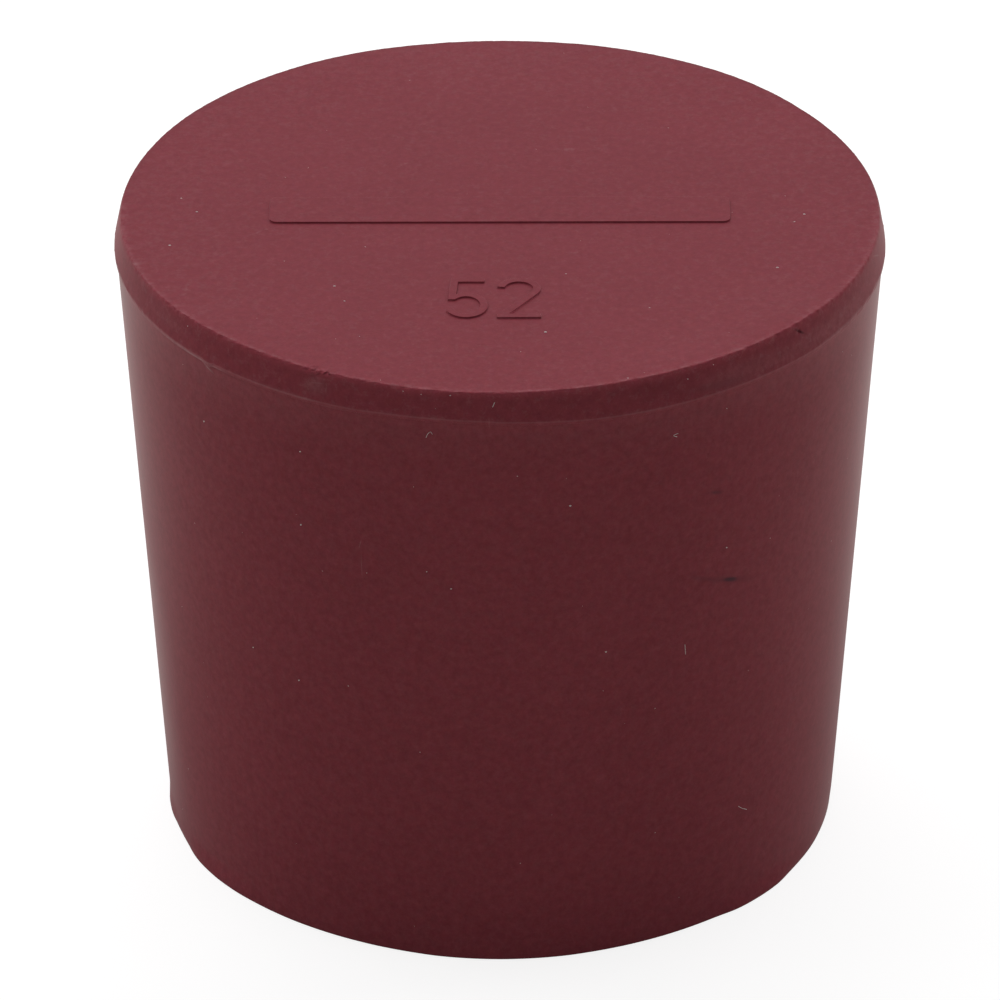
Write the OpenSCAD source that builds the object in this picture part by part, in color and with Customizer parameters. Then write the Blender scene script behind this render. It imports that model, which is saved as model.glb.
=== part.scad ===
// Solid rubber stopper, moulded in one piece: a long taper that plugs a round neck,
// closed at its wide end by a short band that tapers the other way. The two tapers
// meet at the mould's parting line, where a thin trimmed flash stands proud all round.
// The origin is the centre of the narrow end's face, and +Z points to the wide end.

/* [Taper] */
// Overall height, from the narrow end's face to the wide end's face
height = 45; // [30:0.5:70]
// Diameter of the tapered side where it reaches the parting line
wide_d = 51.72; // [40:0.02:70]
// Diameter of the narrow end's face, out to its sharp corner
narrow_d = 45.8; // [30:0.1:60]

/* [Band] */
// Height of the band, from the parting line to the wide end's face
band_h = 2.3; // [1.2:0.1:6]
// Diameter of the wide end's face, out to its sharp corner
face_d = 51.2; // [38:0.1:68]

/* [Flash] */
// How far the trimmed flash stands out from the tapered side
flash_out = 0.14; // [0.04:0.02:0.6]
// Thickness of the trimmed flash, up the band from the parting line
flash_t = 0.22; // [0.1:0.02:0.8]

/* [Edges] */
// Radius of the edge round the wide end's face
face_edge_r = 0.15; // [0.1:0.05:1]
// Radius of the edge round the narrow end's face
foot_edge_r = 0.15; // [0.1:0.05:3]

/* [Hidden] */
$fn = 180;

// Straight steps that a rounded edge is drawn with
edge_steps = 10;
// Height of the parting line above the narrow end's face
parting_z = height - band_h;
// Radius of the trimmed flash, the widest place on the stopper
flash_r = wide_d / 2 + flash_out;
// The sharp corners of the two faces, before their edges are rounded
foot_corner = [narrow_d / 2, 0];
face_corner = [face_d / 2, height];
// The far ends of the tapered side and of the band's wall that lead to them
side_top = [wide_d / 2, parting_z];
band_foot = [flash_r, parting_z + flash_t];

function unit(v) = v / norm(v);

// The arc that rounds one corner of an outline that runs anticlockwise. The
// corner's sides run to the points `before` and `after` it, and the arc uses up
// no more than most of the shorter one.
function rounded(corner, before, after, radius) =
    let (
        back = unit(before - corner),
        ahead = unit(after - corner),
        half_angle = acos(back * ahead) / 2,
        room = 0.9 * min(norm(before - corner), norm(after - corner)),
        reach = min(radius / tan(half_angle), room),
        arc_r = reach * tan(half_angle),
        centre = corner + unit(back + ahead) * arc_r / sin(half_angle),
        start = corner + back * reach - centre,
        first_angle = atan2(start.y, start.x),
        turn = 180 - 2 * half_angle
    )
    [
        for (i = [0:edge_steps])
            let (angle = first_angle + turn * i / edge_steps)
            centre + arc_r * [cos(angle), sin(angle)]
    ];

// Half of the stopper's section, from the axis outwards
module half_section() {
    polygon(concat(
        [[0, 0]],
        rounded(foot_corner, [0, 0], side_top, foot_edge_r),
        [side_top, [flash_r, parting_z], band_foot],
        rounded(face_corner, band_foot, [0, height], face_edge_r),
        [[0, height]]
    ));
}

module stopper() {
    color("#74383e")
        rotate_extrude()
            half_section();
}

stopper();
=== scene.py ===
import bmesh
import bpy
import math
from mathutils import Matrix, Vector, noise


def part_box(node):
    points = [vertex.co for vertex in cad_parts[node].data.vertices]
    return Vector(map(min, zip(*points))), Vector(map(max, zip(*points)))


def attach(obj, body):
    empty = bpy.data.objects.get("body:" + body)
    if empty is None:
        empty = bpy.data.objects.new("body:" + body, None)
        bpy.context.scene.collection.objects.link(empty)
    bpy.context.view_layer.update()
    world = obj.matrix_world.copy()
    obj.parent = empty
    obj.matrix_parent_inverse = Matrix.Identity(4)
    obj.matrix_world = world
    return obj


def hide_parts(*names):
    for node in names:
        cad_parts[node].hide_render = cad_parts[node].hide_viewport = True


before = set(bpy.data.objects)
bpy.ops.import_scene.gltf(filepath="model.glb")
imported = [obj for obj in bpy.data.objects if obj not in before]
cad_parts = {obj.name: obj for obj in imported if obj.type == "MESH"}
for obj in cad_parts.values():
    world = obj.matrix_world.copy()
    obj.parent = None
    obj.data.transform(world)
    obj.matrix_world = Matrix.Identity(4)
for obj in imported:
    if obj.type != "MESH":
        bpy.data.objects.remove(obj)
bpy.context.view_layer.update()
mm = 0.001  # every shape below is built in millimetres and brought to metres at its end
footCorner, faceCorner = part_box("stopper")
height = (faceCorner.z - footCorner.z) / mm
widest = (faceCorner.x - footCorner.x) / 2 / mm
print("frame: a stopper", round(height, 2), "mm high and", round(2 * widest, 2), "mm across")


class Wire:  # a node's output: + - * / on it add Math nodes to its tree
    def __init__(self, socket):
        self.socket = socket

    def math(self, operation, *terms):
        node = self.socket.id_data.nodes.new("ShaderNodeMath")
        node.operation = operation
        for slot, term in zip(node.inputs, terms):
            plug(slot, term)
        return Wire(node.outputs[0])

    def __add__(self, other):
        return self.math("ADD", self, other)

    def __radd__(self, other):
        return self.math("ADD", other, self)

    def __sub__(self, other):
        return self.math("SUBTRACT", self, other)

    def __rsub__(self, other):
        return self.math("SUBTRACT", other, self)

    def __mul__(self, other):
        return self.math("MULTIPLY", self, other)

    def __rmul__(self, other):
        return self.math("MULTIPLY", other, self)

    def __truediv__(self, other):
        return self.math("DIVIDE", self, other)

    def __rtruediv__(self, other):
        return self.math("DIVIDE", other, self)

    def most(self, other):
        return self.math("MAXIMUM", self, other)

    def other(self, name):  # another output of the same node
        return Wire(self.socket.node.outputs[name])


def plug(slot, value):
    if isinstance(value, Wire):
        slot.id_data.links.new(value.socket, slot)
    else:
        slot.default_value = value


class Graph:  # a node tree that add() fills
    def __init__(self, tree):
        self.tree = tree

    def add(self, kind, settings=None, sockets=None, output=0):
        node = self.tree.nodes.new(kind)
        for name, value in (settings or {}).items():
            if name == "points":  # of a Float Curve, the first and the last of which it has already
                curve = node.mapping.curves[0]
                for point, place in zip(curve.points, (value[0], value[-1])):
                    point.location = place
                for place in value[1:-1]:
                    curve.points.new(*place)
                node.mapping.update()
            else:
                setattr(node, name, value)
        for name, value in (sockets or {}).items():
            plug(node.inputs[name], value)
        return Wire(node.outputs[output]) if node.outputs else node

    def vector(self, operation, first, second):
        slot = "Scale" if operation == "SCALE" else 1
        return self.add("ShaderNodeVectorMath", {"operation": operation}, {0: first, slot: second})

    def length(self, vector):
        return self.add("ShaderNodeVectorMath", {"operation": "LENGTH"}, {0: vector}, "Value")

    def noise(self, place, scale, detail=2.0, rough=0.5):
        sockets = {"Vector": place, "Scale": scale, "Detail": detail, "Roughness": rough}
        return self.add("ShaderNodeTexNoise", {}, sockets)

    def ramp(self, value, start, end, low=0.0, high=1.0):  # a smooth step from low to high
        sockets = {"Value": value, "From Min": start, "From Max": end, "To Min": low, "To Max": high}
        return self.add("ShaderNodeMapRange", {"interpolation_type": "SMOOTHSTEP"}, sockets)

    def mix(self, factor, first, second, blend="MIX"):
        settings = {"data_type": "RGBA", "blend_type": blend, "clamp_factor": True}
        return self.add("ShaderNodeMix", settings, {0: factor, 6: first, 7: second}, 2)


socketKinds = {int: "NodeSocketInt", float: "NodeSocketFloat", tuple: "NodeSocketVector",
               bpy.types.Material: "NodeSocketMaterial", bpy.types.Object: "NodeSocketObject"}


def geometryGraph(name, sizes):  # a tree with one named input for each size
    graph = Graph(bpy.data.node_groups.new(name, "GeometryNodeTree"))
    face = graph.tree.interface
    face.new_socket("Geometry", in_out="INPUT", socket_type="NodeSocketGeometry")
    face.new_socket("Geometry", in_out="OUTPUT", socket_type="NodeSocketGeometry")
    for title, value in sizes.items():
        face.new_socket(title, in_out="INPUT", socket_type=socketKinds[type(value)])
    graph.inputs = graph.add("NodeGroupInput")
    return graph


def closeGraph(graph, shape, material):  # what every geometry tree ends in
    real = graph.add("GeometryNodeRealizeInstances", {}, {"Geometry": shape})
    done = graph.add("GeometryNodeSetMaterial", {}, {"Geometry": real, "Material": material})
    plug(graph.tree.nodes.new("NodeGroupOutput").inputs[0], done)


def runGraph(graph, startMesh, sizes):  # the tree's result as a plain mesh
    holder = bpy.data.objects.new(graph.tree.name, startMesh)
    bpy.context.scene.collection.objects.link(holder)
    modifier = holder.modifiers.new(graph.tree.name, "NODES")
    modifier.node_group = graph.tree
    for item in graph.tree.interface.items_tree:
        if item.in_out == "INPUT" and item.name in sizes:
            modifier[item.identifier] = sizes[item.name]
    holder.update_tag()
    shown = holder.evaluated_get(bpy.context.evaluated_depsgraph_get())
    result = bpy.data.meshes.new_from_object(shown)
    holder.modifiers.remove(modifier)
    bpy.data.objects.remove(holder)
    return result


def lineMesh(name, chains, closed=False, **values):  # chains of points, joined by edges
    points = [point for chain in chains for point in chain]
    edges = []
    first = 0
    for chain in chains:
        last = first + len(chain) - 1
        edges += [(i, i + 1) for i in range(first, last)]
        edges += [(last, first)] if closed else []
        first = last + 1
    mesh = bpy.data.meshes.new(name)
    mesh.from_pydata(points, edges, [])
    for title, numbers in values.items():
        mesh.attributes.new(title, "FLOAT", "POINT").data.foreach_set("value", numbers)
    return mesh


def setPiece(name, mesh, material):  # a finished mesh becomes a piece of the stopper
    mesh.name = name
    mesh.transform(Matrix.Scale(mm, 4))
    mesh.materials.clear()
    mesh.materials.append(material)
    piece = bpy.data.objects.new(name, mesh)
    bpy.context.scene.collection.objects.link(piece)
    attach(piece, "root")
    print(name, "has", len(mesh.polygons), "faces")
    return piece


rubber = {
    "colour": (0.194, 0.035, 0.0470),
    "specular": 0.034,
    "roughness": 0.30,
    "bandRoughness": 0.40,
    "roughWander": (0.06, 0.05),  # how far it follows the pale specks and the clouds
    "coatRoughness": 0.3,  # of the thin gloss
    "cloud": 0.13,  # clouds, streaks, mottles and grains to a millimetre
    "streak": 0.8,
    "mottle": 1.8,
    "grain": 5.0,
    "grainHeight": 0.012,
    "grainStrength": 0.25,
}
# how much lighter than its colour the rubber is, as a share of it
tones = {
    "cloud": 0.10,
    "streak": 0.07,
    "mottle": (0.65, -0.13),  # and what the wide face adds to that
    "hue": 0.3,
    "band": -0.05,  # the trimmed band is painted darker, a painted shade
    "dustyFront": -0.015,  # the top few millimetres of the wall, at the front
    # painted sheen: the wall below the lip is lighter towards the sides
    "sheenSide": 0.10,
    # painted shade at the far sides of the wall below the lip
    "shadeFarSide": -0.13,
    # painted light on the wall just under the lip
    "litUnderLip": 0.09,
    # painted light towards the front of the wide face, and painted shade in its middle
    "litFaceFront": 0.03,
    "shadedFaceMiddle": -0.03,
    "crest": (0.07, -0.14),  # the rim's inner edge, and what the back adds to that: lighter at the front, partly wear and partly a painted highlight, and darker at the back, a painted shade
    "shoulder": (0.26, -0.15, -1.9),  # its outer edge, and what the sides and the back add: lighter at the front, partly wear and partly a painted highlight, and darker at the back, a painted shade
}
# how much of a pale colour lies over the rubber: dust and wear, with painted highlights and painted sheen
# where noted
film = {
    "wall": 0.009,
    "dustyFront": 0.0095,
    # painted sheen: the wall below the lip is paler towards the sides
    "sheenSide": 0.03,
    "faceBack": 0.008,
    "mottle": (0.085, 0.07),  # and what the wide face adds to that
    "lip": (0.045, 0.12),  # and what its palest stretches add: a pale line along the lip's top edge, a painted highlight
    # the rim's inner edge away from the back: wear, and a painted highlight
    "crest": (0.03, 0.15),
    "band": 0.025,
    "rub": 0.05,
}
# what marks the rubber: its colour, then each mark's angle from the front, height, half width, half height,
# slope and depth
marked = {
    "dirt": ((0.030, 0.024, 0.032, 1), [
        (38.4, 27.45, 2.6, 0.42, 0.33, 0.22), (38.0, 27.52, 0.95, 0.27, 0.33, 0.55),
        (33.0, 28.3, 2.2, 0.3, 0.42, 0.18), (34.35, 34.9, 0.85, 0.25, 0.3, 0.38),
        (33.9, 43.3, 4.0, 0.5, 0.08, 0.16)]),
    # painted shade: dark in the nick, in the cracks of the chip, on a patch of the band and on the wall
    # under the lip at the left
    "paintedShade": ((0.040, 0.008, 0.011, 1), [
        (50.2, 44.57, 0.95, 0.16, 0.62, 0.75), (-26.6, 44.97, 0.24, 0.09, -0.64, 0.75),
        (-26.0, 44.98, 0.21, 0.09, 0.27, 0.75), (-28.4, 44.97, 0.35, 0.10, 0.12, 0.4),
        (-27.7, 44.80, 0.37, 0.09, -0.49, 0.4), (-29.8, 44.95, 0.32, 0.09, -0.06, 0.3),
        (24.1, 44.0, 4.8, 0.9, 0.08, 0.12), (-82.0, 41.0, 4.5, 2.2, 0.0, 0.12)]),
    # pale rubs and scrapes, with painted highlights along the lip and painted sheen on the band
    "rub": ((0.50, 0.42, 0.42, 1), [
        (-27.9, 44.0, 1.4, 0.95, -0.14, 0.055), (-27.6, 44.21, 1.1, 0.08, -0.12, 0.04),
        (-26.2, 44.0, 0.48, 0.09, 1.55, 0.04), (-29.4, 42.95, 1.2, 0.14, -0.04, 0.06),
        (-51.0, 42.75, 1.9, 0.14, 0.02, 0.10), (-48.1, 42.3, 0.71, 0.14, 0.43, 0.16),
        (-46.8, 42.69, 1.6, 0.13, -0.09, 0.09), (-1.6, 42.92, 0.71, 0.07, 1.57, 0.05),
        (-55.0, 42.80, 7.5, 0.15, 0.0, 0.12), (63.0, 42.80, 6.0, 0.14, 0.0, 0.08),
        (-74.0, 42.80, 7.0, 0.14, 0.0, 0.07), (-25.0, 42.75, 3.0, 0.15, 0.0, 0.03),
        (-21.6, 32.45, 0.06, 0.55, 0.25, 0.07), (-21.5, 30.8, 0.06, 1.5, 0.0, 0.06),
        (-72.6, 45.0, 0.9, 0.12, -0.2, 0.10), (78.2, 44.3, 1.3, 0.09, 0.43, 0.10),
        (-59.0, 43.9, 3.7, 0.8, 0.0, 0.02), (58.0, 43.4, 10.5, 1.3, 0.0, 0.035),
        (39.0, 43.7, 6.5, 1.2, 0.0, 0.035)]),
}
# where handling has left a thin gloss: angle from the front, height, half width, half height and strength
handled = [(-85.0, 12.0, 9.0, 14.0, 0.38), (-80.0, 6.0, 7.0, 6.5, 0.16)]
# faint rubs on the wide face: x, y, half length, half width, turn
rubs = [(-16.0, -2.9, 1.75, 0.16, 0.68), (4.9, -6.05, 1.6, 0.22, -0.25), (-20.9, -11.2, 1.4, 0.5, 1.2),
        (5.2, 9.0, 2.5, 0.3, 0.1), (-6.5, 6.8, 1.1, 0.35, 0.8)]


def onWall(angle, z, radius):  # a point of the wall; angle 0 is the front, and +90 is +X
    turn = math.radians(angle)
    return radius * math.sin(turn), -radius * math.cos(turn), z


def wallRadius(z):  # of the tapered side
    return stopper["footRadius"] + (stopper["taperRadius"] - stopper["footRadius"]) * z / partingZ


def oval(graph, spot, centre, turns, half):  # 1 at a place on the surface, fading to 0 round it
    sockets = {"Vector": spot, "Location": centre, "Rotation": turns, "Scale": half}
    local = graph.add("ShaderNodeMapping", {"vector_type": "TEXTURE"}, sockets)
    return graph.ramp(graph.length(local), 0.1, 1.0, 1.0, 0.0)


def newMaterial(name):
    material = bpy.data.materials.new(name)
    material.use_nodes = True
    material.node_tree.nodes.clear()
    return material, Graph(material.node_tree)


def rubberMaterial():
    material, graph = newMaterial("red_rubber")
    place = graph.add("ShaderNodeTexCoord", {}, {}, "Object")
    spot = graph.vector("SCALE", place, 1 / mm)
    cloud = graph.noise(spot, rubber["cloud"], 2.0, 0.6) - 0.5
    streak = graph.noise(graph.vector("MULTIPLY", spot, (0.1, 0.1, 1.0)), rubber["streak"], 2.0, 0.6) - 0.5
    axes = graph.add("ShaderNodeSeparateXYZ", {}, {"Vector": spot})
    onTop = graph.ramp(axes.other("Z"), height - 0.4, height - 0.2)
    speckle = graph.add("ShaderNodeTexNoise", {}, {
        "Vector": spot, "Scale": rubber["mottle"], "Detail": 3.0, "Roughness": 0.85}, "Color")
    speckle = graph.add("ShaderNodeSeparateColor", {}, {"Color": speckle})
    shade, paleness, hue = speckle - 0.5, speckle.other("Green") - 0.5, speckle.other("Blue") - 0.5
    lip, crest, shoulder, band = [graph.add("ShaderNodeAttribute", {"attribute_name": name}, {}, "Fac")
                                  for name in ("lip", "crest", "shoulder", "band")]
    distance = graph.length(graph.vector("MULTIPLY", spot, (1.0, 1.0, 0.0)))
    sideways = axes * axes / widest ** 2
    behind = graph.ramp(axes.other("Y"), -3.0, 6.0)  # the back, where the rim is painted darker, a painted shade, and has no pale film
    onWallOnly = (1 - band) * (1 - onTop)
    # the top few millimetres of the wall: a thin pale film at the front, painted sheen towards the sides
    # and painted shade at the far sides
    dustAndSheenBelowLip = onWallOnly * graph.ramp(axes.other("Z"), partingZ - 4.0, partingZ - 0.3)
    # the wall just under the lip, which is painted lighter, a painted light
    litUnderLip = onWallOnly * graph.ramp(axes.other("Z"), partingZ - 1.0, partingZ - 0.1)
    # the far sides, where the wall below the lip is painted darker, a painted shade
    farSide = graph.ramp(sideways, 0.86, 0.98)
    # painted light towards the front of the wide face, and painted shade in its middle
    litFaceFront = onTop * graph.ramp(axes.other("Y"), -14.0, -24.0)
    shadedFaceMiddle = onTop * graph.ramp(distance, 22.0, 6.0)
    faceBack = onTop * graph.ramp(distance, 14.0, 24.0) * graph.ramp(axes.other("Y"), -18.0, -4.0)

    # painted sheen towards the sides and painted shade at the far sides, below the lip
    dustSheenAndShade = tones["dustyFront"] + tones["sheenSide"] * sideways + tones["shadeFarSide"] * farSide
    onFace = tones["litFaceFront"] * litFaceFront + tones["shadedFaceMiddle"] * shadedFaceMiddle
    crestWearAndLight = tones["crest"][0] + tones["crest"][1] * behind
    outerEdge, atSides, atBack = tones["shoulder"]
    shoulderWearAndLight = (outerEdge + atSides * sideways) * (1 + atBack * behind)
    mottle = tones["mottle"][0] + tones["mottle"][1] * onTop
    tone = ((1 + tones["band"] * band) * (1 + dustSheenAndShade * dustAndSheenBelowLip) * (1 + tones["litUnderLip"] * litUnderLip)
            * (1 + onFace) * (1 + crestWearAndLight * crest + shoulderWearAndLight * shoulder)
            * (1 + tones["cloud"] * cloud + tones["streak"] * streak + mottle * shade))
    toned = graph.add("ShaderNodeCombineXYZ", {}, {
        "X": tone, "Y": tone, "Z": tone * (1 + tones["hue"] * hue)})
    base = graph.vector("MULTIPLY", rubber["colour"], toned)

    dustWearAndHighlights = (film["wall"] * onWallOnly + (film["dustyFront"] + film["sheenSide"] * sideways) * dustAndSheenBelowLip
            + film["faceBack"] * faceBack + (film["mottle"][0] + film["mottle"][1] * onTop) * paleness
            + (film["lip"][0] + film["lip"][1] * graph.ramp(cloud, 0.0, 0.3)) * lip
            + (film["crest"][0] + film["crest"][1] * paleness) * crest * (1 - behind)
            + film["band"] * band * graph.ramp(paleness, 0.0, 0.2))
    for x, y, halfLength, halfWidth, turn in rubs:
        rub = oval(graph, spot, (x, y, height), (0, 0, turn), (halfLength, halfWidth, 1.0))
        dustWearAndHighlights = dustWearAndHighlights + film["rub"] * rub * graph.ramp(paleness, -0.15, 0.15)
    base = graph.mix(dustWearAndHighlights, base, marked["rub"][0])
    for colour, places in marked.values():
        depths = 0.0
        for angle, z, halfWidth, halfHeight, slope, depth in places:
            turns = (0, slope, math.radians(angle))
            mark = oval(graph, spot, onWall(angle, z, wallRadius(z)), turns, (halfWidth, 1.5, halfHeight))
            depths = depth * mark * (1 + 2 * shade) + depths
        base = graph.mix(depths, base, colour)

    gloss = 0.0
    for angle, z, halfWidth, halfHeight, strength in handled:
        centre, turns = onWall(angle, z, wallRadius(z)), (0, 0, math.radians(angle))
        gloss = strength * oval(graph, spot, centre, turns, (halfWidth, 3.0, halfHeight)) + gloss

    withSpecks, withClouds = rubber["roughWander"]
    rough = (rubber["roughness"] * (1 - band) + rubber["bandRoughness"] * band
             + withSpecks * paleness + withClouds * cloud)
    grain = graph.noise(spot, rubber["grain"], 1.0, 0.7)
    bump = graph.add("ShaderNodeBump", {}, {
        "Strength": rubber["grainStrength"], "Distance": rubber["grainHeight"] * mm, "Height": grain})
    shader = graph.add("ShaderNodeBsdfPrincipled", {}, {
        "Base Color": base,
        "Roughness": rough,
        "Specular IOR Level": rubber["specular"],
        "Coat Weight": gloss,
        "Coat Roughness": rubber["coatRoughness"],
        "Normal": bump,
    })
    graph.add("ShaderNodeOutputMaterial", {}, {"Surface": shader})
    return material


lintLook = {
    "pale": (0.62, 0.56, 0.54, 1),
    "shade": (0.44, 0.36, 0.36, 1),
    "fleck": 1.7,  # to a millimetre
    "roughness": 0.85,
    "specular": 0.2,
}


def lintMaterial():
    material, graph = newMaterial("pale_lint")
    place = graph.add("ShaderNodeTexCoord", {}, {}, "Object")
    spot = graph.vector("SCALE", place, 1 / mm)
    fleck = graph.noise(spot, lintLook["fleck"], 2.0, 0.6)
    colour = graph.mix(graph.ramp(fleck, 0.3, 0.7), lintLook["pale"], lintLook["shade"])
    shader = graph.add("ShaderNodeBsdfPrincipled", {}, {
        "Base Color": colour,
        "Roughness": lintLook["roughness"],
        "Specular IOR Level": lintLook["specular"],
    })
    graph.add("ShaderNodeOutputMaterial", {}, {"Surface": shader})
    return material


# the moulded stopper: one section, swept round the axis
stopper = {
    "footRadius": 22.9,  # out to the sharp corner of the narrow end's face
    "taperRadius": 25.86,  # of the tapered side where it meets the parting line
    "faceRadius": 25.6,  # out to the sharp corner of the wide end's face
    "band": 2.3,
    "lipThick": 0.22,
    "footEdge": 0.15,
    "faceEdge": (0.11, 0.4),  # of the soft rim, in along the face and down the band
    "lipEdge": 0.03,
    "segments": 1200,
    "seed": 17.0,
}
partingZ = height - stopper["band"]
flaws = {
    "Lip Ragged": 0.055,  # how far the trimmed flash wanders, outwards and down
    "Edge Ragged": 0.085,  # how far the wide face's rim crumbles
    "Wall Sway": 0.012,  # how far the wall is from a true cone
}
# the noises that the flaws follow: to a millimetre, detail and roughness
waves = {"coarse": (0.9, 3.0, 0.6), "fine": (3.1, 2.0, 0.6), "slow": (0.07, 2.0, 0.4)}
# how far each rim lies above its drawn height, by the angle from the front, in millimetres
rimRise = [(0, -0.03), (10, 0.008), (20, 0.08), (30, 0.15), (40, 0.165), (50, 0.195), (60, 0.12),
           (75, 0.04), (110, -0.02), (125, 0.015), (140, 0.12), (150, 0.10), (165, 0.065), (178, 0.0),
           (190, 0.01), (205, 0.10), (220, 0.10), (240, 0.08), (252, 0.0), (300, -0.025), (310, 0.07),
           (320, 0.08), (330, 0.045), (340, 0.025), (350, -0.055)]
partingRise = [(0, 0.06), (6, 0.0), (20, -0.11), (30, -0.095), (40, -0.085), (60, -0.20), (90, -0.10),
               (150, 0.0), (270, 0.05), (300, 0.0), (310, 0.005), (320, 0.035), (330, 0.04), (338, 0.06),
               (345, 0.15), (355, 0.135)]
# how far the foot's rim stands out past its drawn radius
footSpread = [(0, 0.215), (9, 0.185), (15, 0.11), (21, 0.055), (30, 0.02), (37, 0.04), (42, 0.18),
              (47, 0.30), (52, 0.31), (57, 0.21), (62, 0.09), (69, 0.04), (78, -0.035), (92, -0.045),
              (110, 0.0), (250, 0.0), (267, 0.0), (273, 0.08), (276, 0.135), (280, 0.12), (285, 0.03),
              (289, 0.05), (294, 0.19), (299, 0.25), (306, 0.21), (315, 0.08), (322, 0.03), (330, 0.0),
              (339, 0.04), (345, 0.10), (351, 0.185)]
rubberRed = rubberMaterial()
paleLint = lintMaterial()


def roundCorner(corner, before, after, radius, steps):  # the arc that rounds a corner
    corner, before, after = Vector(corner), Vector(before), Vector(after)
    back = (before - corner).normalized()
    ahead = (after - corner).normalized()
    half = back.angle(ahead) / 2
    centre = corner + (back + ahead).normalized() * radius / math.sin(half)
    start = corner + back * radius / math.tan(half) - centre
    turn = math.pi - 2 * half
    if back.cross(ahead) > 0:
        turn = -turn
    arc = []
    for i in range(steps + 1):
        angle = math.atan2(start.y, start.x) + turn * i / steps
        arc.append((centre.x + radius * math.cos(angle), centre.y + radius * math.sin(angle)))
    return arc


def softCorner(corner, before, after, reaches, steps):  # a curve that eases from one side to the other
    corner, before, after = Vector(corner), Vector(before), Vector(after)
    start = corner + (before - corner).normalized() * reaches[0]
    end = corner + (after - corner).normalized() * reaches[1]
    points = []
    for i in range(steps + 1):
        share = i / steps
        point = start.lerp(corner, share).lerp(corner.lerp(end, share), share)
        points.append((point.x, point.y))
    return points


def between(start, end, shares):
    return [(start[0] + (end[0] - start[0]) * s, start[1] + (end[1] - start[1]) * s) for s in shares]


def roundTheRing(rises):  # the points of a curve that meets itself after a full turn
    places = [(angle / 360, 0.5 + rise) for angle, rise in rises]
    return places + [(1.0, places[0][1])]


def sectionPoints():  # (radius, height) from the narrow face's centre round to the wide face's
    foot = (stopper["footRadius"], 0.0)
    sideTop = (stopper["taperRadius"], partingZ)
    lipLow = (widest, partingZ)
    lipHigh = (widest, partingZ + stopper["lipThick"])
    face = (stopper["faceRadius"], height)
    faceCentre = (0.0, height)
    footArc = roundCorner(foot, (0, 0), sideTop, stopper["footEdge"], 6)
    rootArc = roundCorner(sideTop, foot, lipLow, stopper["lipEdge"], 3)
    lowArc = roundCorner(lipLow, sideTop, lipHigh, stopper["lipEdge"], 4)
    highArc = roundCorner(lipHigh, lipLow, face, stopper["lipEdge"] * 2, 3)
    inwards, down = stopper["faceEdge"]
    faceArc = softCorner(face, lipHigh, faceCentre, (down, inwards), 10)
    wallShares = [0.012, 0.024, 0.036, 0.05] + [i / 14 for i in range(1, 14)] + [0.97, 0.99, 0.997]
    points = between((0, 0), footArc[0], [0, 0.3, 0.7, 0.95, 0.99])
    points += footArc
    points += between(footArc[-1], rootArc[0], wallShares)
    points += rootArc + lowArc
    points += between(lowArc[-1], highArc[0], [0.35, 0.7])
    points += highArc
    points += between(highArc[-1], faceArc[0], [0.04, 0.15, 0.3, 0.45, 0.6, 0.75, 0.87, 0.95])
    points += faceArc
    points += between(faceArc[-1], faceCentre, [0.002, 0.006, 0.01, 0.02, 0.04, 0.1, 0.25, 0.5, 0.8, 1])
    return points


def near(value, centre, reach):  # 1 at the centre, falling smoothly to 0 at reach
    share = min(abs(value - centre) / reach, 1.0)
    return 1 - share * share * (3 - 2 * share)


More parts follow.
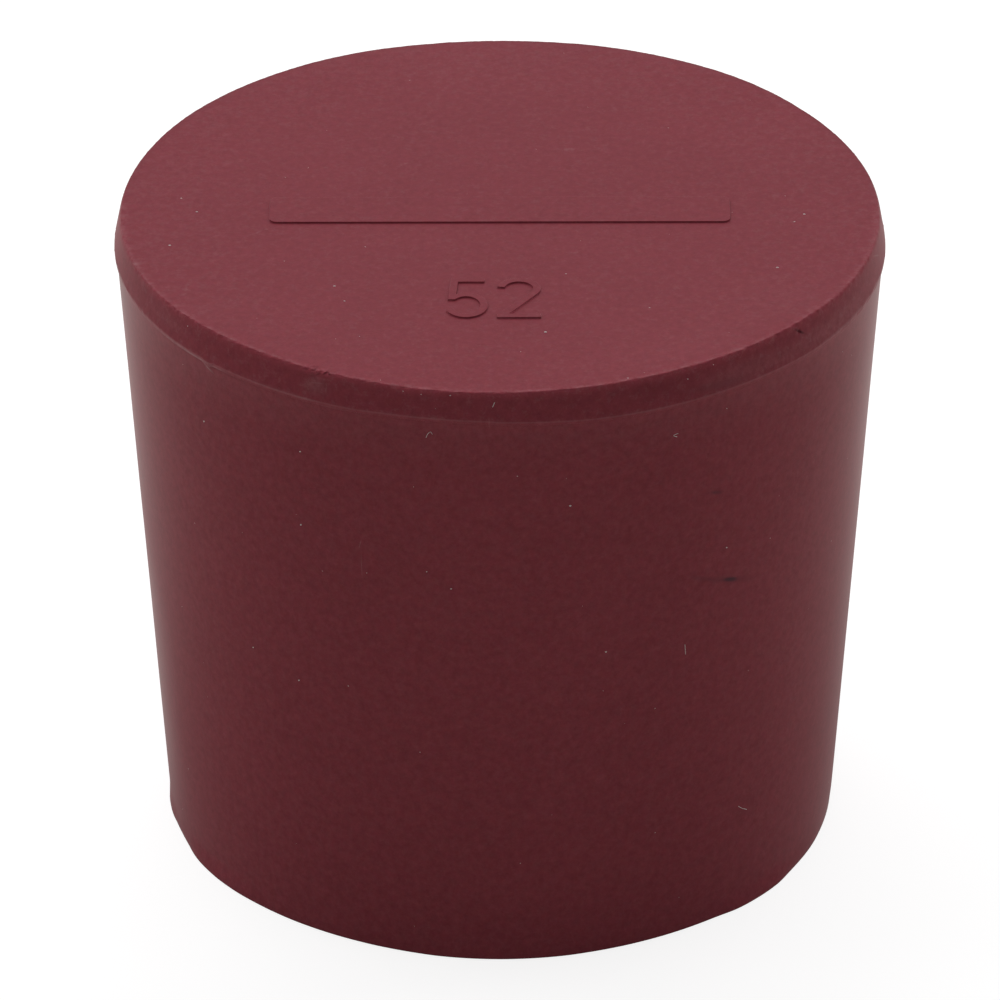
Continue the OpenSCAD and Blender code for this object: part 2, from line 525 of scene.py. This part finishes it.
def latheGraph():  # turns a section in the XZ plane into a closed body, with its moulding flaws
    sizes = {"Segments": 8, "Seed": 1.0, "Widest Radius": 1.0, "Parting Height": 1.0,
             "Face Height": 1.0, **flaws, "Material": rubberRed}
    graph = geometryGraph("moulded_stopper", sizes)
    into = graph.inputs.other
    spot = graph.add("GeometryNodeInputPosition")
    axes = graph.add("ShaderNodeSeparateXYZ", {}, {"Vector": spot})
    shape = into("Geometry")
    for title, value in (("reach", axes), ("rise", axes.other("Z"))):
        shape = graph.add("GeometryNodeStoreNamedAttribute", {},
                          {"Geometry": shape, "Name": title, "Value": value})
    section = graph.add("GeometryNodeMeshToCurve", {}, {"Mesh": shape})
    ring = graph.add("GeometryNodeCurvePrimitiveCircle", {},
                     {"Resolution": into("Segments"), "Radius": into("Widest Radius")})
    turn = graph.add("GeometryNodeInputIndex") / into("Segments") * (2 * math.pi)
    ring = graph.add("GeometryNodeStoreNamedAttribute", {},
                     {"Geometry": ring, "Name": "turn", "Value": turn})
    body = graph.add("GeometryNodeCurveToMesh", {}, {"Curve": ring, "Profile Curve": section})

    def named(title):
        return graph.add("GeometryNodeInputNamedAttribute", {}, {"Name": title})

    # angle 0 is the front, so that x is the sine and y the cosine turned round
    reach, rise, lip, edge = named("reach"), named("rise"), named("lip"), named("edge")
    side = named("turn").math("SINE", named("turn"))
    front = named("turn").math("COSINE", named("turn"))
    onRing = graph.add("ShaderNodeCombineXYZ", {}, {"X": side * reach, "Y": front * reach,
                                                    "Z": rise + 50 * into("Seed")})
    coarse, fine, slow = [4 * (graph.noise(onRing, *wave) - 0.5) for wave in waves.values()]
    parting = into("Parting Height")
    onWallMask = graph.ramp(rise, 1.0, 4.0) * graph.ramp(rise, parting - 2.5, parting - 0.5, 1.0, 0.0)
    ringShare = named("turn") / (2 * math.pi)
    partingLift, rimLift, footOut = [
        graph.add("ShaderNodeFloatCurve", {"points": roundTheRing(offsets)}, {"Value": ringShare}) - 0.5
        for offsets in (partingRise, rimRise, footSpread)]
    footShare = graph.ramp(rise, 0.0, 1.4, 1.0, 0.0) * graph.ramp(reach, 18.0, 22.5)
    ragged = lip * into("Lip Ragged")
    crumbling = edge * into("Edge Ragged") * graph.ramp(front, 0.2, 0.5, 0.2, 1.0)
    outwards = (ragged * (0.7 * coarse + 0.3 * fine) + crumbling * (0.5 * coarse + 0.7 * fine)
                + onWallMask * into("Wall Sway") * slow + footShare * footOut)
    newReach = reach + outwards

    partingShare = (graph.ramp(rise, parting - 5.0, parting)
                    * graph.ramp(rise, parting + 0.3, into("Face Height"), 1.0, 0.0))
    rimShare = (graph.ramp(rise, parting, into("Face Height") - 0.1)
                * graph.ramp(reach, 0.75 * into("Widest Radius"), 0.98 * into("Widest Radius")))
    lift = (partingShare * partingLift + rimShare * rimLift
            + ragged * (0.6 * coarse - 0.2 * fine) + crumbling * (0.5 * coarse + 0.6 * fine))
    place = graph.add("ShaderNodeCombineXYZ", {}, {"X": side * newReach, "Y": -1 * front * newReach,
                                                   "Z": rise + lift})
    body = graph.add("GeometryNodeSetPosition", {}, {"Geometry": body, "Position": place})
    body = graph.add("GeometryNodeMergeByDistance", {}, {"Geometry": body, "Distance": 0.0005})
    body = graph.add("GeometryNodeSetShadeSmooth", {}, {"Geometry": body, "Shade Smooth": True})
    closeGraph(graph, body, into("Material"))
    return graph


def sweepStopper():
    points = sectionPoints()
    faceRim = (stopper["faceRadius"], height)
    lipTop = (widest, partingZ + stopper["lipThick"])
    lip = [near(math.dist(p, lipTop), 0, 0.12) for p in points]
    edge = [near(math.dist(p, faceRim), 0, 0.25) for p in points]
    crest = [near(math.dist(p, faceRim), 0.15, 0.36) if p[1] > height - 0.03 else 0.0 for p in points]
    shoulder = [near(math.dist(p, faceRim), 0, 0.6) if p[1] < height - 0.005 else 0.0 for p in points]
    band = [1.0 if r > stopper["faceRadius"] - 0.02 and lipTop[1] + 0.06 < z < height - 0.03 else 0.0
            for r, z in points]
    section = lineMesh("section", [[(r, 0, z) for r, z in points]], lip=lip, edge=edge, crest=crest,
                       shoulder=shoulder, band=band)
    return runGraph(latheGraph(), section, {
        "Segments": stopper["segments"], "Seed": stopper["seed"], "Widest Radius": widest,
        "Parting Height": partingZ, "Face Height": height, **flaws, "Material": rubberRed})


def faceOut(mesh):  # turns the faces outwards if the whole shell is inside out
    shell = bmesh.new()
    shell.from_mesh(mesh)
    if shell.calc_volume(signed=True) < 0:
        bmesh.ops.reverse_faces(shell, faces=shell.faces)
        shell.to_mesh(mesh)
    shell.free()


# dents in the rubber: centre (angle, height, radius), reach, push (outwards, up), raggedness
dents = [
    ((-26.4, 45.0, 25.6), 0.22, (-0.09, -0.05), 1.0),  # the chip out of the wide face's rim
    ((-28.6, 45.0, 25.6), 0.80, (-0.04, -0.03), 2.5),  # the crumbled rim beside it
    ((50.1, 44.57, 25.7), 0.30, (-0.08, 0.0), 0.3),  # a nick in the band
    ((-48.0, 42.75, 26.0), 0.70, (0.05, -0.12), 0.3),  # a tag of flash that hangs from the lip
]


def dentStopper(mesh):
    body = bmesh.new()
    body.from_mesh(mesh)
    for (angle, z, radius), reach, (outwards, up), ragged in dents:
        centre = Vector(onWall(angle, z, radius))
        out = Vector(onWall(angle, 0, 1))
        close = [f for f in body.faces if (f.calc_center_median() - centre).length < reach * 1.2]
        edges = list({e for f in close for e in f.edges if e.calc_length() > 0.08})
        bmesh.ops.subdivide_edges(body, edges=edges, cuts=2, use_grid_fill=True)
        for vert in body.verts:
            share = near((vert.co - centre).length, 0, reach)
            if share > 0:
                depth = share * (1 + ragged * noise.noise(vert.co * 4))
                vert.co += (out * outwards + Vector((0, 0, up))) * depth
    bmesh.ops.triangulate(body, faces=[f for f in body.faces if len(f.verts) > 4])
    body.to_mesh(mesh)
    body.free()
    mesh.shade_smooth()


stopperMesh = sweepStopper()
faceOut(stopperMesh)
dentStopper(stopperMesh)


# raised marks of the mould on the wide face: a plain plate, and a size in millimetres
marks = {
    "relief": 0.12,
    "draft": 0.01,  # how far the wall leans outwards on its way down
    "rounding": 0.02,
    "root": 0.02,
    "sunk": 0.04,
    "stroke": 0.5,
    "digit": (2.9, 5.5),
    "gap": 0.6,
    "numeralAt": (-3.7, -15.4),
    "plate": (31.0, 3.6),
    "plateAt": (0.0, 0.0),
    "plateCorner": 0.5,
}


def arc(centre, radii, start, end, steps):  # in degrees, either way round
    points = []
    for i in range(steps + 1):
        angle = math.radians(start + (end - start) * i / steps)
        points.append((centre[0] + radii[0] * math.cos(angle), centre[1] + radii[1] * math.sin(angle)))
    return points


def digitTwo():
    wide, tall = marks["digit"]
    stroke = marks["stroke"]
    bow = wide / 2
    centre = (bow, tall - bow)
    inner = bow - stroke
    outline = arc(centre, (bow, bow), 170, -25, 20)
    outline += [(0.78, stroke), (wide, stroke), (wide, 0), (0, 0), (0, 0.42)]
    outline += arc(centre, (inner, inner), -25, 170, 16)
    return outline


def digitFive():
    wide, tall = marks["digit"]
    stroke = marks["stroke"]
    centre = (wide / 2, 1.72)
    outer = (wide / 2, 1.72)
    inner = (outer[0] - stroke, outer[1] - stroke)
    outline = [(0.45, tall), (2.65, tall), (2.65, tall - stroke), (0.92, tall - stroke), (0.79, 3.25)]
    outline += arc(centre, outer, 117, -155, 24)
    outline += arc(centre, inner, -155, 140, 20)
    outline += [(0.24, 2.52)]
    return outline


def plateOutline():
    wide, deep = marks["plate"]
    corner = marks["plateCorner"]
    x, y = wide / 2 - corner, deep / 2 - corner
    outline = []
    for i, (cx, cy) in enumerate(((x, y), (-x, y), (-x, -y), (x, -y))):
        outline += arc((cx, cy), (corner, corner), 90 * i, 90 * i + 90, 6)
    return outline


def offsetRing(outline, distance):  # the outline, moved outwards by a distance
    ring = []
    for i, point in enumerate(outline):
        here = Vector(point)
        back = (here - Vector(outline[i - 1])).normalized()
        ahead = (Vector(outline[(i + 1) % len(outline)]) - here).normalized()
        normal = (Vector((back.y, -back.x)) + Vector((ahead.y, -ahead.x))).normalized()
        lean = max(normal.dot(Vector((back.y, -back.x))), 0.5)
        ring.append(here + normal * distance / lean)
    return ring


def raisedMark(outlines):  # walls with a soft foot and a rounded top edge round each outline
    relief, rounding = marks["relief"], marks["rounding"]
    profile = [(marks["root"] + marks["draft"] + 0.02, -marks["sunk"]),
               (marks["root"] + marks["draft"], 0.0),
               (marks["root"] * 0.35 + marks["draft"], marks["root"] * 0.25),
               (marks["draft"], marks["root"])]
    for i in range(5):
        angle = math.radians(22.5 * i)
        profile.append((rounding * (math.cos(angle) - 1), relief - rounding + rounding * math.sin(angle)))
    profile.append((-rounding - 0.03, relief))
    mark = bmesh.new()
    for outline in outlines:
        area = sum(a[0] * b[1] - b[0] * a[1] for a, b in zip(outline, outline[1:] + outline[:1]))
        outline = outline if area > 0 else outline[::-1]
        rings = []
        for distance, z in profile:
            ring = offsetRing(outline, distance)
            rings.append([mark.verts.new((p.x, p.y, height + z)) for p in ring])
        count = len(outline)
        for lower, upper in zip(rings, rings[1:]):
            for i in range(count):
                j = (i + 1) % count
                mark.faces.new((lower[i], lower[j], upper[j], upper[i]))
        mark.faces.new(rings[-1])
        mark.faces.new(rings[0][::-1])
    mark.normal_update()
    bmesh.ops.triangulate(mark, faces=[f for f in mark.faces if len(f.verts) > 4])
    mesh = bpy.data.meshes.new("mark")
    mark.to_mesh(mesh)
    mark.free()
    mesh.shade_smooth()
    return mesh


def moved(outline, corner):
    return [(x + corner[0], y + corner[1]) for x, y in outline]


numeralX, numeralY = marks["numeralAt"]
digitStep = marks["digit"][0] + marks["gap"]
numeralMesh = raisedMark([moved(digitFive(), (numeralX, numeralY)),
                          moved(digitTwo(), (numeralX + digitStep, numeralY))])
plateMesh = raisedMark([moved(plateOutline(), marks["plateAt"])])


dust = {
    "Density": 0.011,  # grains to a square millimetre
    "Seed": 5,
    "Smallest": 0.014,
    "Largest": 0.034,
}
# grains that show: x, y and radius on the wide face; angle, height and radius on the wall
faceGrains = [
    (-21.5, 1.9, 0.05), (-20.4, -0.1, 0.07), (-22.1, -4.9, 0.07), (20.5, -0.6, 0.07), (19.8, -1.7, 0.05),
    (18.5, -8.3, 0.08), (3.0, -17.3, 0.08), (-11.0, -10.8, 0.07), (-10.3, -12.9, 0.06), (4.4, -9.1, 0.04),
    (9.9, -13.9, 0.04), (-7.8, -23.9, 0.022), (8.35, -23.8, 0.04)]
wallGrains = [
    (-50.3, 37.8, 0.06), (-31.0, 38.6, 0.06), (-31.6, 32.8, 0.06), (10.4, 36.2, 0.07), (-7.5, 29.8, 0.05),
    (16.5, 24.3, 0.06), (-42.8, 21.4, 0.05), (36.9, 30.2, 0.06), (-33.7, 20.2, 0.06), (-11.2, 31.0, 0.04),
    (-14.3, 44.8, 0.03), (-11.6, 44.7, 0.03), (-7.3, 44.8, 0.04), (28.5, 44.4, 0.04), (35.3, 41.3, 0.03),
    (-53.4, 44.5, 0.035), (33.0, 44.9, 0.03), (-20.7, 30.24, 0.03)]
# fibres: points by angle and height on the wall, or by x and y on the wide face
wallFibres = [[(-10.85, 41.5), (-10.6, 41.78), (-10.2, 41.97), (-9.9, 41.8)],
              [(27.0, 40.46), (26.25, 40.38), (26.85, 40.2)],
              [(43.1, 8.5), (44.1, 8.15), (45.2, 7.87)],
              [(30.0, 23.5), (30.2, 22.7)],
              [(-1.1, 44.05), (-0.8, 44.4)]]
fibreRadius = 0.02


def grainGraph():  # scatters grains over the body and adds the ones that are given
    sizes = {"Body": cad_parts["stopper"], "Density": 1.0, "Seed": 1, "Smallest": 1.0,
             "Largest": 1.0, "Material": paleLint}
    graph = geometryGraph("dust_grains", sizes)
    into = graph.inputs.other
    body = graph.add("GeometryNodeObjectInfo", {}, {"Object": into("Body")}, "Geometry")
    rise = graph.add("ShaderNodeSeparateXYZ", {}, {"Vector": graph.add("GeometryNodeInputPosition")}, "Z")
    offFloor = graph.ramp(rise, 0.3, 0.5)
    scatter = graph.add("GeometryNodeDistributePointsOnFaces", {},
                        {"Mesh": body, "Density": offFloor * into("Density"), "Seed": into("Seed")})
    size = graph.add("FunctionNodeRandomValue", {"data_type": "FLOAT"},
                     {2: into("Smallest"), 3: into("Largest"), "Seed": into("Seed")}, 1)
    scatter = graph.add("GeometryNodeStoreNamedAttribute", {},
                        {"Geometry": scatter, "Name": "size", "Value": size})
    given = graph.add("GeometryNodeMeshToPoints", {}, {"Mesh": into("Geometry")})
    touch = graph.add("GeometryNodeProximity", {"target_element": "FACES"}, {0: body}, "Position")
    given = graph.add("GeometryNodeSetPosition", {}, {"Geometry": given, "Position": touch})
    points = graph.tree.nodes.new("GeometryNodeJoinGeometry")
    for part in (scatter, given):
        plug(points.inputs[0], part)
    normal = graph.add("GeometryNodeInputNormal")
    outwards = graph.add("GeometryNodeSampleNearestSurface", {"data_type": "FLOAT_VECTOR"},
                         {"Mesh": body, "Value": normal})
    upright = graph.add("FunctionNodeAlignRotationToVector", {"axis": "Z"}, {"Vector": outwards})
    spin = graph.add("FunctionNodeRandomValue", {"data_type": "FLOAT"},
                     {2: 0.0, 3: 6.28, "Seed": into("Seed")}, 1)
    spun = graph.add("FunctionNodeRotateRotation", {"rotation_space": "LOCAL"}, {
        "Rotation": upright,
        "Rotate By": graph.add("FunctionNodeAxisAngleToRotation", {}, {"Axis": (0, 0, 1), "Angle": spin})})
    grain = graph.add("GeometryNodeMeshIcoSphere", {}, {"Radius": 1.0, "Subdivisions": 2})
    wobble = graph.noise(graph.add("GeometryNodeInputPosition"), 1.3) - 0.5
    lump = graph.vector("SCALE", graph.add("GeometryNodeInputNormal"), wobble)
    grain = graph.add("GeometryNodeSetPosition", {}, {"Geometry": grain, "Offset": lump})
    named = graph.add("GeometryNodeInputNamedAttribute", {}, {"Name": "size"})
    shape = graph.add("ShaderNodeCombineXYZ", {}, {"X": 1.2 * named, "Y": 0.8 * named, "Z": 0.6 * named})
    grains = graph.add("GeometryNodeInstanceOnPoints", {}, {
        "Points": Wire(points.outputs[0]), "Instance": grain, "Rotation": spun, "Scale": shape})
    closeGraph(graph, grains, into("Material"))
    return graph


def fibreGraph():  # lays each chain of points on the body as a thin hair
    sizes = {"Body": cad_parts["stopper"], "Radius": 1.0, "Material": paleLint}
    graph = geometryGraph("lint_fibres", sizes)
    into = graph.inputs.other
    body = graph.add("GeometryNodeObjectInfo", {}, {"Object": into("Body")}, "Geometry")
    hair = graph.add("GeometryNodeMeshToCurve", {}, {"Mesh": into("Geometry")})
    hair = graph.add("GeometryNodeCurveSplineType", {"spline_type": "CATMULL_ROM"}, {"Curve": hair})
    hair = graph.add("GeometryNodeResampleCurve", {"mode": "COUNT"}, {"Curve": hair, "Count": 16})
    touch = graph.add("GeometryNodeProximity", {"target_element": "FACES"}, {0: body}, "Position")
    hair = graph.add("GeometryNodeSetPosition", {}, {"Geometry": hair, "Position": touch})
    share = graph.add("GeometryNodeSplineParameter")
    girth = share.math("MINIMUM", 1.0, 0.35 + 4 * share.math("MINIMUM", share, 1 - share))
    hair = graph.add("GeometryNodeSetCurveRadius", {}, {"Curve": hair, "Radius": girth})
    ring = graph.add("GeometryNodeCurvePrimitiveCircle", {}, {"Resolution": 6, "Radius": into("Radius")})
    hair = graph.add("GeometryNodeCurveToMesh", {},
                     {"Curve": hair, "Profile Curve": ring, "Fill Caps": True})
    closeGraph(graph, hair, into("Material"))
    return graph


bodyStand = bpy.data.objects.new("body_stand", stopperMesh)  # stands in for the body, in millimetres
bpy.context.scene.collection.objects.link(bodyStand)
given = [(x, y, height) for x, y, size in faceGrains]
given += [onWall(angle, z, wallRadius(z)) for angle, z, size in wallGrains]
grainSizes = [grain[2] for grain in faceGrains + wallGrains]
dustMesh = runGraph(grainGraph(), lineMesh("grains", [[point] for point in given], size=grainSizes),
                    {"Body": bodyStand, **dust, "Material": paleLint})
chains = [[onWall(angle, z, wallRadius(z)) for angle, z in fibre] for fibre in wallFibres]
lintMesh = runGraph(fibreGraph(), lineMesh("fibres", chains),
                    {"Body": bodyStand, "Radius": fibreRadius, "Material": paleLint})
bpy.data.objects.remove(bodyStand)

mouldedStopper = setPiece("moulded_stopper", stopperMesh, rubberRed)
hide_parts("stopper")
setPiece("size_numeral", numeralMesh, rubberRed)
setPiece("plain_plate", plateMesh, rubberRed)
setPiece("dust_grains", dustMesh, paleLint)
setPiece("lint_fibres", lintMesh, paleLint)


# in millimetres, the elevation in degrees and the roll in radians
view = {"aim": 22.67, "distance": 697.0, "elevation": 29.2, "roll": -0.0018,
        "lens": 366.7, "sensor": 36.0, "shift": -0.0004}


def placeCamera():
    camera = bpy.data.cameras.new("camera")
    camera.lens = view["lens"]
    camera.sensor_width = view["sensor"]
    camera.shift_x = view["shift"]
    camera.clip_start = 0.01
    camera.clip_end = 100
    holder = bpy.data.objects.new("camera", camera)
    rise = math.radians(view["elevation"])
    away = Vector((0, -math.cos(rise), math.sin(rise))) * view["distance"] * mm
    turn = Matrix.Rotation(math.pi / 2 - rise, 4, "X") @ Matrix.Rotation(view["roll"], 4, "Z")
    holder.matrix_world = Matrix.Translation(away + Vector((0, 0, view["aim"] * mm))) @ turn
    bpy.context.scene.collection.objects.link(holder)
    bpy.context.scene.camera = holder


studio = {
    "floorRadius": 1.5,
    "paper": (0.66, 0.65, 0.60),  # the floor's colour in the light that it throws back
    "mirrored": (0.94, 0.90, 0.86),  # and in what the rubber mirrors
    "underFoot": 0.35,  # how much of that is left beside the stopper, a painted shadow round the foot
    "shadeAt": (-0.002, 0.0, 0.0),
    "shadowGlow": 0.82,  # what the camera sees of the floor in full shadow
    "shadowDepth": 0.28,
    "fill": 0.315,
    "aim": (0.0, 0.0, 0.03),
}
# lamps: place, width and height in metres, then watts
lamps = {
    "overhead_back": ((0.0, 0.56, 0.734), 0.96, 0.64, 4.45),
    "overhead_left": ((-0.48, 0.16, 0.782), 0.64, 0.64, 1.67),
    "left_back_panel": ((-0.45, 0.25, 0.18), 0.30, 0.30, 0.79),
    "right_back_panel": ((0.45, 0.25, 0.22), 0.30, 0.30, 0.93),
}


def seenDirectly(graph):  # 1 for the rays that should meet plain white
    ray = graph.add("ShaderNodeLightPath", {}, {}, "Is Camera Ray")
    return ray.most(ray.other("Is Glossy Ray")).most(ray.other("Is Transmission Ray"))


def floorMaterial():
    material, graph = newMaterial("pale_floor")
    place = graph.add("ShaderNodeTexCoord", {}, {}, "Object")
    shade = graph.ramp(graph.length(graph.vector("SUBTRACT", place, studio["shadeAt"])), 0.005, 0.080,
                       studio["underFoot"], 1.0)
    plain = graph.add("ShaderNodeBsdfDiffuse", {}, {"Color": (*studio["paper"], 1)})
    mirroredColour = graph.vector("SCALE", studio["mirrored"], shade)
    mirrored = graph.add("ShaderNodeEmission", {}, {"Color": mirroredColour})
    depth = studio["shadowDepth"]
    shaded = graph.add("ShaderNodeBsdfDiffuse", {}, {"Color": (depth, depth, depth, 1)})
    glow = graph.add("ShaderNodeEmission", {}, {"Strength": studio["shadowGlow"]})
    nearShade = graph.add("ShaderNodeAddShader", {}, {0: shaded, 1: glow})
    white = graph.add("ShaderNodeEmission", {}, {"Strength": 1.0})
    away = graph.ramp(graph.length(place), 0.10, 0.25)
    seen = graph.add("ShaderNodeMixShader", {}, {0: away, 1: nearShade, 2: white})
    ray = graph.add("ShaderNodeLightPath", {}, {}, "Is Camera Ray")
    both = graph.add("ShaderNodeMixShader", {}, {0: ray, 1: plain, 2: seen})
    reflected = ray.other("Is Glossy Ray").most(ray.other("Is Transmission Ray"))
    every = graph.add("ShaderNodeMixShader", {}, {0: reflected, 1: both, 2: mirrored})
    graph.add("ShaderNodeOutputMaterial", {}, {"Surface": every})
    return material


def layFloor():
    disc = bmesh.new()
    bmesh.ops.create_circle(disc, cap_ends=True, segments=96, radius=studio["floorRadius"])
    mesh = bpy.data.meshes.new("floor")
    disc.to_mesh(mesh)
    disc.free()
    mesh.materials.append(floorMaterial())
    floor = bpy.data.objects.new("floor", mesh)
    bpy.context.scene.collection.objects.link(floor)


def lightWorld():
    world = bpy.data.worlds.new("studio")
    world.use_nodes = True
    world.node_tree.nodes.clear()
    graph = Graph(world.node_tree)
    strength = graph.ramp(seenDirectly(graph), 0.0, 1.0, studio["fill"], 1.0)
    sky = graph.add("ShaderNodeBackground", {}, {"Color": (1, 1, 1, 1), "Strength": strength})
    graph.add("ShaderNodeOutputWorld", {}, {"Surface": sky})
    bpy.context.scene.world = world


def hangLamps():
    for name, (place, wide, tall, watts) in lamps.items():
        lamp = bpy.data.lights.new(name, "AREA")
        lamp.shape = "RECTANGLE"
        lamp.size = wide
        lamp.size_y = tall
        lamp.energy = watts
        holder = bpy.data.objects.new(name, lamp)
        holder.location = place
        holder.visible_glossy = False  # rubber mirrors the white studio alone
        facing = Vector(studio["aim"]) - Vector(place)
        holder.rotation_euler = facing.to_track_quat("-Z", "Y").to_euler()
        bpy.context.scene.collection.objects.link(holder)


placeCamera()
layFloor()
lightWorld()
hangLamps()
bpy.context.scene.view_settings.view_transform = "Standard"
print("camera, floor and lamps are set")
